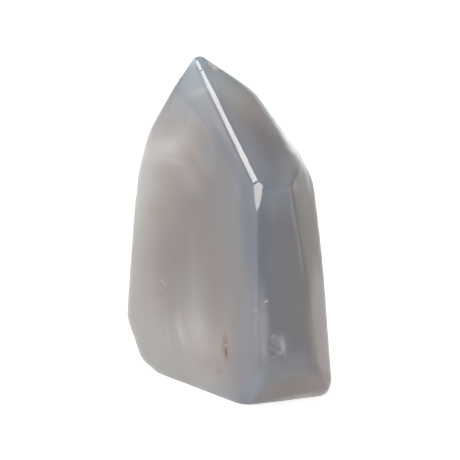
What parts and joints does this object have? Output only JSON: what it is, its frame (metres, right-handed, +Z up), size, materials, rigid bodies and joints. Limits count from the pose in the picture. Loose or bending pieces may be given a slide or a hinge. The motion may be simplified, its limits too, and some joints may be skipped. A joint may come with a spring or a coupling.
{
  "type": "polished agate point",
  "caption": "Free-form point of banded agate, ground to uneven flat faces and polished, that stands on its flat base as an ornament.",
  "frame": {"origin": "on the surface that the stone stands on, under the middle of its box", "axes": "+Z up from the flat base to the tip; -Y is the side seen first, with the long ridge between the broad left face and the narrow front face"},
  "size_m": [0.0502, 0.0448, 0.0804],
  "materials": {
    "agate": "polished, slightly translucent"
  },
  "bodies": {
    "root": {"agate_point": "agate"}
  },
  "joints": []
}
